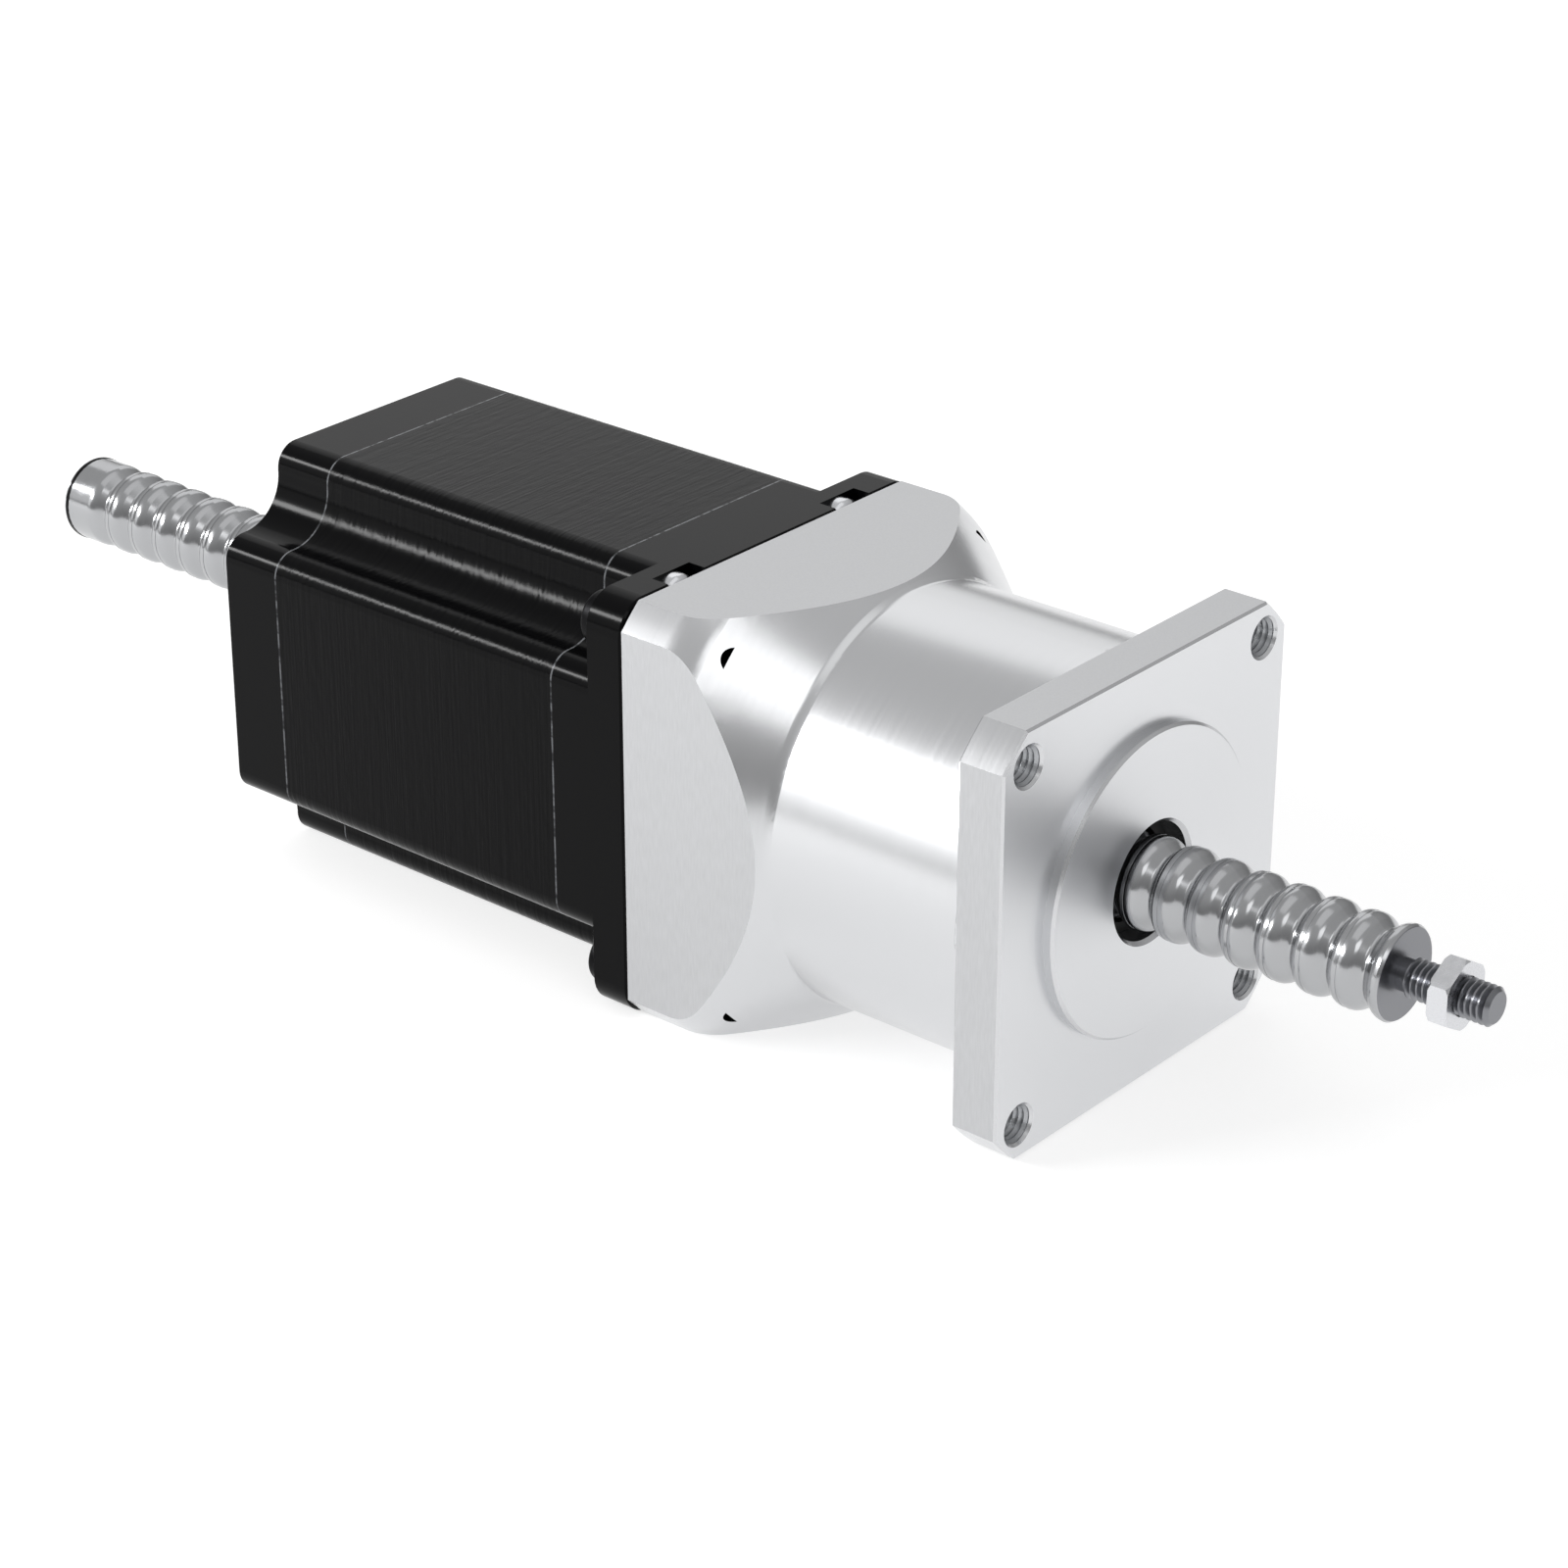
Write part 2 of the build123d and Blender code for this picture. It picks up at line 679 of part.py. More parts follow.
def stator_coils():
    """One copper winding about each pole."""
    inner_half = pole_width / 2 + coil_gap
    coils = []
    for pole in range(poles):
        outside = pole_block(pole, inner_half + coil_thickness, insulator_thickness + coil_thickness,
                             coil_gap + coil_thickness)
        inside = pole_block(pole, inner_half, insulator_thickness, coil_gap)
        coils.append(outside - inside)
    return coils


def winding_insulator(face_x, outward):
    """A moulded end insulator: a plate over each pole and a rim about the coil ends."""
    plate_x = sorted((face_x, face_x + outward * insulator_thickness))
    rim_x = sorted((face_x, face_x + outward * insulator_rim_height))
    plates = []
    for pole in range(poles):
        bar = Pos((shoe_r + back_iron_r) / 2 - insulator_overhang, 0) * Rectangle(back_iron_r - shoe_r, pole_width)
        plates.append(prism(Rot(0, 0, 360 * pole / poles) * bar, *plate_x))
    return ring(*rim_x, back_iron_r, insulator_rim_r) + plates


def winding_insulator_front():
    return winding_insulator(stack_front_x, 1)


def winding_insulator_rear():
    return winding_insulator(stack_rear_x, -1)


# Rotor

def hollow_shaft():
    """The motor's hollow shaft, with the flange that bolts to the ball nut."""
    body = rod(shaft_flange_rear_x, nut_rear_x, shaft_flange_r) + rod(shaft_rear_x, nut_rear_x, shaft_r)
    holes = [rod(shaft_flange_rear_x, nut_rear_x, clamp_screw_r + seat_clearance, y, z) for y, z in clamp_places()]
    return body - rod(shaft_rear_x, nut_rear_x, shaft_bore_r) - holes


def rotor_section(turn):
    """A rotor core's section: fifty straight teeth about the shaft."""
    pitch = 360 / rotor_teeth
    slots = []
    for tooth in range(rotor_teeth):
        place = turn + pitch * (tooth + 0.5)
        slots.append(sector(rotor_r - rotor_tooth_height, rotor_r + join_overlap, place, pitch * (1 - tooth_share)))
    return Circle(rotor_r) - slots - Circle(shaft_r)


def rotor_core_front():
    return prism(rotor_section(0), magnet_front_x, rotor_front_x)


def rotor_core_rear():
    """The rear core, half a tooth ahead of the front one."""
    return prism(rotor_section(180 / rotor_teeth), rotor_rear_x, magnet_rear_x)


def rotor_magnet():
    return ring(magnet_rear_x, magnet_front_x, magnet_r, shaft_r)


def clamp_places():
    """Where the four clamp screws of shaft and nut lie."""
    places = [Vector(clamp_screw_circle_r, 0).rotate(Axis.Z, 45 + 90 * i) for i in range(4)]
    return [(place.X, place.Y) for place in places]


def nut_clamp_screws():
    """Four socket head screws from the shaft's flange into the ball nut."""
    screws = []
    head_rear_x = shaft_flange_rear_x - clamp_head_height
    for y, z in clamp_places():
        head = rod(head_rear_x, shaft_flange_rear_x, clamp_head_r, y, z)
        shank = rod(shaft_flange_rear_x, nut_rear_x + clamp_screw_reach, clamp_screw_r, y, z)
        screws.append(head + shank - sunk_socket(head_rear_x, clamp_socket_depth, clamp_socket, y, z))
    return screws


# Ball nut

def circuit_angle(index):
    """The angle of a circuit's deflector, spread evenly about the nut."""
    return 360 * index / circuits


def circuit_x(index):
    """Where a circuit lies: they are evenly spaced about the nut's middle."""
    return (nut_front_x + nut_rear_x) / 2 + circuit_spacing * (index - (circuits - 1) / 2)


def nut_balls():
    """The balls of each circuit, all round the nut but for its deflector."""
    balls = []
    for index in range(circuits):
        for i in range(balls_per_circuit):
            angle = circuit_angle(index) + 180 + ball_arc * (i / (balls_per_circuit - 1) - 0.5)
            balls.append(ball(screw_ball_r, circuit_x(index), ball_circle_r, angle))
    return balls


def deflector(index, clearance):
    """The oval plug in the nut's wall that leads a circuit's balls back over the land."""
    flat = SlotOverall(deflector_length + 2 * clearance, deflector_width + 2 * clearance)
    plane = Plane((circuit_x(index), deflector_inner_r, 0), x_dir=(1, 0, 0), z_dir=(0, 1, 0))
    return Rot(circuit_angle(index), 0, 0) * extrude(plane * flat, amount=deflector_depth)


def nut_deflectors():
    return [deflector(index, 0) for index in range(circuits)]


def ball_nut():
    """The steel ball nut: flange, bearing journal, ball tracks, and seats for wipers and deflectors."""
    body = rod(nut_rear_x, bearing_front_x, nut_bearing_bore_r - seat_clearance)
    body += rod(bearing_front_x, nut_flange_front_x, nut_flange_r)
    body += rod(nut_flange_front_x, nut_front_x, nut_nose_r)
    cuts = [
        rod(nut_rear_x, nut_front_x, nut_bore_r),
        rod(nut_front_x - wiper_width, nut_front_x, wiper_seat_r),
        rod(nut_rear_x, nut_rear_x + wiper_width, wiper_seat_r),
    ]
    cuts += [deflector(index, seat_clearance) for index in range(circuits)]
    cuts += [rod(nut_rear_x, nut_rear_x + clamp_screw_reach, clamp_screw_r + seat_clearance, y, z)
             for y, z in clamp_places()]
    cuts += [Torus(ball_circle_r, track_r).moved(Location(Plane.YZ.offset(circuit_x(index))))
             for index in range(circuits)]
    return body - cuts


def nut_wiper_front():
    return ring(nut_front_x - wiper_width, nut_front_x, wiper_seat_r - seat_clearance, wiper_bore_r)


def nut_wiper_rear():
    return ring(nut_rear_x, nut_rear_x + wiper_width, wiper_seat_r - seat_clearance, wiper_bore_r)


# Ball screw

def groove_middles():
    """Where the grooves' middles lie, from the front one back to the rear collar."""
    first = screw_front_x - first_groove_inset
    room = first - thread_rear_x - lead / 2
    return [first - lead * i for i in range(int(room / lead) + 1)]


def flank(groove, ridge):
    """Where a line touches a groove's arc and a ridge's arc beside it, each given as (x, r, radius)."""
    side = math.copysign(1, ridge[0] - groove[0])
    run = abs(ridge[0] - groove[0])
    rise = ridge[1] - groove[1]
    slope = math.atan2(rise, run) + math.asin((groove[2] + ridge[2]) / math.hypot(run, rise))
    across = side * math.sin(slope)
    up = math.cos(slope)
    return [(groove[0] + groove[2] * across, groove[1] - groove[2] * up),
            (ridge[0] - ridge[2] * across, ridge[1] + ridge[2] * up)]


def arc_between(start, end, centre, radius):
    """The shorter arc about a centre from one point of the profile to another."""
    middle = Vector((start[0] + end[0]) / 2 - centre[0], (start[1] + end[1]) / 2 - centre[1]).normalized() * radius
    return ThreePointArc(start, (centre[0] + middle.X, centre[1] + middle.Y), end)


def ridge_profile(front_x):
    """The half-profile from one groove's middle, over the ridge behind it, to the next groove's middle.

    The ridge has a broad round crown in front and a tighter shoulder behind, with a narrow land between them.
    """
    rear_x = front_x - lead
    middle_x = (front_x + rear_x) / 2
    groove_middle_r = screw_r - groove_depth + groove_r
    land_front_x = middle_x - crown_land_shift
    land_rear_x = land_front_x - crown_land_width
    land_r = screw_r - crown_land_drop
    shoulder_top_r = land_r - crown_land_step
    crown = (middle_x + crown_shift, screw_r - crown_r, crown_r)
    shoulder = (land_rear_x, shoulder_top_r - shoulder_r, shoulder_r)
    front_flank = flank((front_x, groove_middle_r, groove_r), crown)
    rear_flank = flank((rear_x, groove_middle_r, groove_r), shoulder)
    crown_run = crown[0] - land_front_x
    crown_edge = (land_front_x, crown[1] + math.sqrt(crown_r ** 2 - crown_run ** 2))
    bottom_r = screw_r - groove_depth
    return [
        arc_between((front_x, bottom_r), front_flank[0], (front_x, groove_middle_r), groove_r),
        Line(*front_flank),
        arc_between(front_flank[1], crown_edge, crown[:2], crown_r),
        Line(crown_edge, (land_front_x, land_r)),
        Line((land_front_x, land_r), (land_rear_x, land_r)),
        Line((land_rear_x, land_r), (land_rear_x, shoulder_top_r)),
        arc_between((land_rear_x, shoulder_top_r), rear_flank[1], shoulder[:2], shoulder_r),
        Line(*reversed(rear_flank)),
        arc_between(rear_flank[0], (rear_x, bottom_r), (rear_x, groove_middle_r), groove_r),
    ]


def screw_thread():
    """The grooved length of the screw, with half a ridge at each end that runs out into a plain collar."""
    middles = groove_middles()
    groove_middle_r = screw_r - groove_depth + groove_r
    bottom_r = screw_r - groove_depth
    half_crown_x = lead / 2 - crown_shift
    front_crown = (middles[0] + half_crown_x, screw_r - crown_r, crown_r)
    rear_crown = (middles[-1] - half_crown_x, screw_r - crown_r, crown_r)
    front_flank = flank((middles[0], groove_middle_r, groove_r), front_crown)
    rear_flank = flank((middles[-1], groove_middle_r, groove_r), rear_crown)
    profile = [
        Line((screw_front_x, 0), (screw_front_x, screw_r - front_edge_chamfer)),
        Line((screw_front_x, screw_r - front_edge_chamfer), (front_crown[0], screw_r)),
        arc_between((front_crown[0], screw_r), front_flank[1], front_crown[:2], crown_r),
        Line(*reversed(front_flank)),
        arc_between(front_flank[0], (middles[0], bottom_r), (middles[0], groove_middle_r), groove_r),
    ]
    for middle_x in middles[:-1]:
        profile += ridge_profile(middle_x)
    profile += [
        arc_between((middles[-1], bottom_r), rear_flank[0], (middles[-1], groove_middle_r), groove_r),
        Line(*rear_flank),
        arc_between(rear_flank[1], (rear_crown[0], screw_r), rear_crown[:2], crown_r),
        Line((rear_crown[0], screw_r), (thread_rear_x, screw_r)),
        Line((thread_rear_x, screw_r), (thread_rear_x, 0)),
        Line((thread_rear_x, 0), (screw_front_x, 0)),
    ]
    return revolve(Plane.XZ * make_face(profile), Axis.X, 360)


def stud():
    """The threaded stud on the screw's front end, with its V grooves as rings."""
    neck_x = screw_front_x + stud_neck_length
    points = [(screw_front_x, 0), (screw_front_x, stud_neck_r), (neck_x, stud_neck_r)]
    turns = int((stud_tip_x - stud_chamfer - neck_x) / stud_pitch)
    for i in range(turns):
        start = neck_x + stud_pitch * i
        points.append((start + stud_flat, stud_root_r))
        points.append((start + stud_pitch / 2 - stud_flat / 2, stud_r))
        points.append((start + stud_pitch / 2 + stud_flat, stud_r))
        points.append((start + stud_pitch, stud_root_r))
    points.append((stud_tip_x - stud_chamfer, stud_r))
    points.append((stud_tip_x, stud_r - stud_chamfer))
    points.append((stud_tip_x, 0))
    return revolve(Plane.XZ * make_face(Polyline(*points, close=True)), Axis.X, 360)


def ball_screw():
    """The screw: grooved length, plain collars, a ring groove behind and a stud in front."""
    rear = tapered_rod(screw_rear_x, thread_rear_x, screw_r, rear_collar_chamfer, 0)
    ring_rear_x = screw_rear_x + stop_ring_inset
    rear -= ring(ring_rear_x, ring_rear_x + stop_ring_width, stop_ring_r, stop_groove_r)
    return screw_thread() + [stud(), rear]


def screw_stop_ring():
    """The black snap ring in the groove near the screw's rear end."""
    rear_x = screw_rear_x + stop_ring_inset
    band = sector(stop_groove_r, stop_ring_r, 90, 360 - stop_ring_gap)
    return prism(band, rear_x, rear_x + stop_ring_width)


def stud_nut():
    """The hexagon nut on the stud, with a corner up and its corners chamfered on both faces."""
    rear_x = screw_front_x + stud_nut_gap
    front_x = rear_x + stud_nut_thickness
    hexagon = Rot(0, 0, 90) * RegularPolygon(nut_across_flats / 2, 6, major_radius=False)
    corner_r = nut_across_flats / math.sqrt(3)
    rounded = tapered_rod(rear_x, front_x, corner_r, stud_nut_chamfer, stud_nut_chamfer)
    return (prism(hexagon, rear_x, front_x) & rounded) - rod(rear_x, front_x, stud_nut_bore_r)


pieces = [
    front_housing, front_wiper, nut_bearing_outer_rings, bearing_retainer, front_end_cap, mounting_screws,
    tie_screws, stator_laminations, winding_insulator_front, winding_insulator_rear, stator_coils,
    rear_end_cap, lead_grommet, rear_bearing_outer_ring, rear_wave_washer, rear_guide_bush,
    hollow_shaft, rotor_core_front, rotor_magnet, rotor_core_rear, rear_bearing_inner_ring,
    rear_bearing_balls, rear_bearing_cage, ball_nut, nut_balls, nut_deflectors, nut_wiper_front,
    nut_wiper_rear, nut_bearing_inner_rings, nut_bearing_balls, nut_bearing_cages, bearing_locknut,
    nut_clamp_screws, ball_screw, screw_stop_ring, stud_nut,
]

os.makedirs("parts", exist_ok=True)
for piece in pieces:
    shape = piece()
    if isinstance(shape, list):
        shape = Compound(children=shape)
    export_step(shape, f"parts/{piece.__name__}.step")
    print(piece.__name__, round(shape.volume, 2), "mm3")
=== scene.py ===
"""Looks of a ball screw stepper motor, laid out as an add-on and run as a script."""
import math

import bmesh
import bpy
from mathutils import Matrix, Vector


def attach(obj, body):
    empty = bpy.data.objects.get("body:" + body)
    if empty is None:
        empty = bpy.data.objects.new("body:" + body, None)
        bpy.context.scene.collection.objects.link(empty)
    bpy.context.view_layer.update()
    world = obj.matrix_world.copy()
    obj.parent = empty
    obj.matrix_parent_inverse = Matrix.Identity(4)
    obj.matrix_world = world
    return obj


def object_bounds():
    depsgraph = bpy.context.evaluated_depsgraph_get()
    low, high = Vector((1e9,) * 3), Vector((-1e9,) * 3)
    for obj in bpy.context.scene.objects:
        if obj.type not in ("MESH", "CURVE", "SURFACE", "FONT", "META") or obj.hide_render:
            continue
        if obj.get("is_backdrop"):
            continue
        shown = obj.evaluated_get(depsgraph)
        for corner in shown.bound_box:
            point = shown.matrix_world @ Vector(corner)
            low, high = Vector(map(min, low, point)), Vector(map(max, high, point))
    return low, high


bl_info = {
    "name": "Ball screw stepper motor",
    "version": (1, 0, 0),
    "blender": (4, 5, 0),
    "location": "View3D > Sidebar > Motor",
    "description": "Finishes the pieces of a ball screw stepper motor and lights them",
    "category": "Object",
}

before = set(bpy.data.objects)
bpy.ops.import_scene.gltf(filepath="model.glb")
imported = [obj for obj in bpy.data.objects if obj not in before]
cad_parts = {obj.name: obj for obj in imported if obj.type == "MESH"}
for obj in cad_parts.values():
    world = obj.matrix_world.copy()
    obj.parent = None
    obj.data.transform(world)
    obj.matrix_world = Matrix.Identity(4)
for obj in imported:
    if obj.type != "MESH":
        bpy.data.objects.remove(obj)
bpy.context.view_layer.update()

MM = 0.001
ENAMEL_SPECULAR = 0.08      # dull enamel, which mirrors the bright room only faintly
RIDGE_STEPS = 48            # straight runs in one turn of a thread's ridge


# Sizes and colours that a user would change

class MotorSizes(bpy.types.PropertyGroup):
    """Sizes of what is modelled or patterned here, in metres."""
    lamination_pitch: bpy.props.FloatProperty(
        name="Lamination pitch", description="Thickness of one steel sheet of the stack",
        default=0.5 * MM, unit="LENGTH")
    turning_pitch: bpy.props.FloatProperty(
        name="Turning pitch", description="Feed of the lathe tool on the turned aluminium",
        default=0.22 * MM, unit="LENGTH")
    milling_grain: bpy.props.FloatProperty(
        name="Milling grain", description="Width of the fine marks on the milled flats",
        default=0.25 * MM, unit="LENGTH")
    grinding_pitch: bpy.props.FloatProperty(
        name="Grinding pitch", description="Spacing of the faint rings on ground bearing steel",
        default=0.3 * MM, unit="LENGTH")
    core_pitch: bpy.props.FloatProperty(
        name="Core pitch", description="Spacing of the rings on the rotor's cores",
        default=0.5 * MM, unit="LENGTH")
    wire_diameter: bpy.props.FloatProperty(
        name="Wire diameter", description="Thickness of the winding wire",
        default=0.6 * MM, unit="LENGTH")
    front_seam: bpy.props.FloatProperty(
        name="Front seam", description="Where the front cap's body meets the stack",
        default=-70.0 * MM, unit="LENGTH")
    rear_seam: bpy.props.FloatProperty(
        name="Rear seam", description="Where the stack meets the rear cap",
        default=-119.1 * MM, unit="LENGTH")
    # The line at a seam is a painted highlight, drawn in light grey over the black
    seam_width: bpy.props.FloatProperty(
        name="Seam width", description="Width of the worn line at a seam",
        default=0.28 * MM, unit="LENGTH")
    thread_pitch: bpy.props.FloatProperty(
        name="Flange thread pitch", description="Pitch of the thread in the flange's corner holes",
        default=0.8 * MM, unit="LENGTH")
    thread_depth: bpy.props.FloatProperty(
        name="Flange thread depth", description="How far the thread's crests stand into the holes",
        default=0.36 * MM, unit="LENGTH")
    thread_lead_in: bpy.props.FloatProperty(
        name="Flange thread lead-in", description="Plain length at each end of the holes",
        default=0.5 * MM, unit="LENGTH")
    thread_backing: bpy.props.FloatProperty(
        name="Flange thread backing",
        description="How far the sleeve of ridges reaches into the wall behind it",
        default=0.05 * MM, unit="LENGTH")
    flange_hole_radius: bpy.props.FloatProperty(
        name="Flange hole radius", description="Radius of the flange's corner holes",
        default=2.5 * MM, unit="LENGTH")
    flange_thickness: bpy.props.FloatProperty(
        name="Flange thickness", description="Thickness of the flange",
        default=6.6 * MM, unit="LENGTH")
    bolt_half: bpy.props.FloatProperty(
        name="Bolt square half", description="Half the spacing of the flange's corner holes",
        default=23.57 * MM, unit="LENGTH")
    neck_radius: bpy.props.FloatProperty(
        name="Neck radius", description="Radius of the housing's round neck",
        default=27.7 * MM, unit="LENGTH")
    screw_face: bpy.props.FloatProperty(
        name="Screw face", description="Where the screw's front end face lies",
        default=37.0 * MM, unit="LENGTH")


class MotorColours(bpy.types.PropertyGroup):
    """Colours of the finishes, as sRGB hex values."""
    aluminium: bpy.props.StringProperty(
        name="Aluminium", description="Bare machined aluminium", default="#DEDFE1")
    # Darker than the housing's aluminium: painted shade in the flange's holes
    tapped: bpy.props.StringProperty(
        name="Tapped aluminium", description="Cut thread in the flange's holes", default="#A9ABAE")
    paint: bpy.props.StringProperty(
        name="Black paint", description="Enamel on the stack and the caps", default="#050506")
    # Light grey of the painted highlight along the seams, standing in for their edges catching the
    # light
    highlit: bpy.props.StringProperty(
        name="Worn metal", description="Bare metal where the paint is worn at the seams",
        default="#8E9094")
    screw: bpy.props.StringProperty(
        name="Screw steel", description="Ground bearing steel", default="#AEAFB1")
    stud: bpy.props.StringProperty(
        name="Cut steel", description="Stud's thread and the screw's end face", default="#85868A")
    zinc: bpy.props.StringProperty(
        name="Zinc plate", description="Bright zinc on nut and screws", default="#D8D9DC")
    black_oxide: bpy.props.StringProperty(
        name="Black oxide", description="Blackened screws and stop ring", default="#1A1A1B")
    copper: bpy.props.StringProperty(
        name="Copper wire", description="Enamelled winding wire", default="#B4612F")
    core_steel: bpy.props.StringProperty(
        name="Core steel", description="Rotor's toothed cores", default="#8B8C8F")
    magnet: bpy.props.StringProperty(
        name="Magnet", description="Rotor's sintered magnet", default="#4A4B4D")
    nylon: bpy.props.StringProperty(
        name="Black nylon", description="Cages, deflectors, wipers and bush", default="#151515")
    rubber: bpy.props.StringProperty(
        name="Black rubber", description="Housing's wiper and the lead grommet", default="#101010")
    insulator: bpy.props.StringProperty(
        name="Cream nylon", description="Insulators of the windings", default="#E4DFD0")
    floor: bpy.props.StringProperty(
        name="Floor", description="What the floor throws back of the lamps' light",
        default="#BABABA")


# Node helpers

def linear(hex_colour):
    """The linear colour of an sRGB hex value, as Blender's nodes take it."""
    values = [int(hex_colour[i:i + 2], 16) / 255 for i in (1, 3, 5)]
    return [v / 12.92 if v <= 0.04045 else ((v + 0.055) / 1.055) ** 2.4 for v in values] + [1.0]


def add_node(tree, kind, inputs=None, **settings):
    """Add a node with its settings, and set or link its inputs."""
    node = tree.nodes.new(kind)
    for name, value in settings.items():
        setattr(node, name, value)
    for key, value in (inputs or {}).items():
        if isinstance(value, bpy.types.NodeSocket):
            tree.links.new(value, node.inputs[key])
        else:
            node.inputs[key].default_value = value
    return node


def new_finish(name, colour, metallic, roughness=0.5):
    """A material with one Principled shader, and its tree and shader."""
    material = bpy.data.materials.new(name)
    material.use_nodes = True
    tree = material.node_tree
    shader = tree.nodes["Principled BSDF"]
    shader.inputs["Base Color"].default_value = linear(colour)
    shader.inputs["Metallic"].default_value = metallic
    shader.inputs["Roughness"].default_value = roughness
    return material, tree, shader


def drawn_out_marks(tree, vector, per_metre, detail):
    """Uneven marks, drawn out by a different count per metre along each axis."""
    scaled = add_node(tree, "ShaderNodeVectorMath", {0: vector, 1: per_metre}, operation="MULTIPLY")
    return add_node(tree, "ShaderNodeTexNoise", {
        "Vector": scaled.outputs[0], "Scale": 1.0, "Detail": detail})


def dress(names, material):
    """Give CAD nodes one material."""
    for name in names:
        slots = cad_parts[name].data.materials
        slots.clear()
        slots.append(material)


# Finishes. Nearly all of a noise lies between 0.3 and 0.7, so ranges start from these.

def machined_aluminium(colours, sizes):
    """Bare aluminium: turned rings, which draw highlights out round the axis, on the round parts
    and the faces, and a fine milled grain, which dulls them and varies their grey, on the flats.
    Painted shade greys the round parts a little and the flats most."""
    material, tree, shader = new_finish("machined_aluminium", colours.aluminium, 1.0)
    place = add_node(tree, "ShaderNodeTexCoord")
    parts = add_node(tree, "ShaderNodeSeparateXYZ", {0: place.outputs["Object"]})
    normal = add_node(tree, "ShaderNodeSeparateXYZ", {0: place.outputs["Normal"]})

    # 1 on the faces across the axis, 0 elsewhere
    facing = add_node(tree, "ShaderNodeMath", {0: normal.outputs[0]}, operation="ABSOLUTE")
    is_end = add_node(tree, "ShaderNodeMapRange", {
        "Value": facing.outputs[0], "From Min": 0.95, "From Max": 0.97}).outputs[0]

    # 1 on the milled flats, which are square to Y or Z and lie further out than the neck
    side_y = add_node(tree, "ShaderNodeMath", {0: normal.outputs[1]}, operation="ABSOLUTE")
    side_z = add_node(tree, "ShaderNodeMath", {0: normal.outputs[2]}, operation="ABSOLUTE")
    side = add_node(tree, "ShaderNodeMath", {0: side_y.outputs[0], 1: side_z.outputs[0]},
                    operation="MAXIMUM")
    squared = add_node(tree, "ShaderNodeMapRange", {
        "Value": side.outputs[0], "From Min": 0.99990, "From Max": 0.99995})
    away_y = add_node(tree, "ShaderNodeMath", {0: parts.outputs[1]}, operation="ABSOLUTE")
    away_z = add_node(tree, "ShaderNodeMath", {0: parts.outputs[2]}, operation="ABSOLUTE")
    away = add_node(tree, "ShaderNodeMath", {0: away_y.outputs[0], 1: away_z.outputs[0]},
                    operation="MAXIMUM")
    past_neck = add_node(tree, "ShaderNodeMapRange", {
        "Value": away.outputs[0],
        "From Min": sizes.neck_radius + 0.2 * MM, "From Max": sizes.neck_radius + 0.3 * MM})
    is_flat = add_node(tree, "ShaderNodeMath", {0: squared.outputs[0], 1: past_neck.outputs[0]},
                       operation="MULTIPLY").outputs[0]

    # The tool's feed runs along the axis on round parts and outwards on the faces
    across = add_node(tree, "ShaderNodeCombineXYZ", {1: parts.outputs[1], 2: parts.outputs[2]})
    radius = add_node(tree, "ShaderNodeVectorMath", {0: across.outputs[0]}, operation="LENGTH")
    along = add_node(tree, "ShaderNodeMix", {
        0: is_end, 2: parts.outputs[0], 3: radius.outputs["Value"]})
    feed = add_node(tree, "ShaderNodeCombineXYZ", {0: along.outputs[0]})
    turned = drawn_out_marks(tree, feed.outputs[0], (1 / sizes.turning_pitch, 0, 0), 4.0)
    broad = drawn_out_marks(tree, feed.outputs[0], (0.3 / sizes.turning_pitch, 0, 0), 3.0)
    grain = drawn_out_marks(
        tree, place.outputs["Object"],
        (1 / sizes.milling_grain, 1 / sizes.milling_grain, 0.12 / sizes.milling_grain), 5.0)
    soft_rings = add_node(tree, "ShaderNodeMapRange", {
        "Value": turned.outputs["Fac"], "To Min": 0.0, "To Max": 0.2})
    marks = add_node(tree, "ShaderNodeMix", {
        0: is_flat, 2: soft_rings.outputs[0], 3: grain.outputs["Fac"]})
    bump = add_node(tree, "ShaderNodeBump", {
        "Strength": 0.3, "Distance": 0.008 * MM, "Height": marks.outputs[0]})
    tree.links.new(bump.outputs[0], shader.inputs["Normal"])

    rough_round = add_node(tree, "ShaderNodeMapRange", {
        "Value": broad.outputs["Fac"], "From Min": 0.3, "From Max": 0.7,
        "To Min": 0.2, "To Max": 0.23})
    rough_end = add_node(tree, "ShaderNodeMapRange", {
        "Value": broad.outputs["Fac"], "From Min": 0.3, "From Max": 0.7,
        "To Min": 0.33, "To Max": 0.37})
    rough_flat = add_node(tree, "ShaderNodeMapRange", {
        "Value": grain.outputs["Fac"], "From Min": 0.3, "From Max": 0.7,
        "To Min": 0.34, "To Max": 0.42})
    rough_turned = add_node(tree, "ShaderNodeMix", {
        0: is_end, 2: rough_round.outputs[0], 3: rough_end.outputs[0]})
    rough = add_node(tree, "ShaderNodeMix", {
        0: is_flat, 2: rough_turned.outputs[0], 3: rough_flat.outputs[0]})
    tree.links.new(rough.outputs[0], shader.inputs["Roughness"])

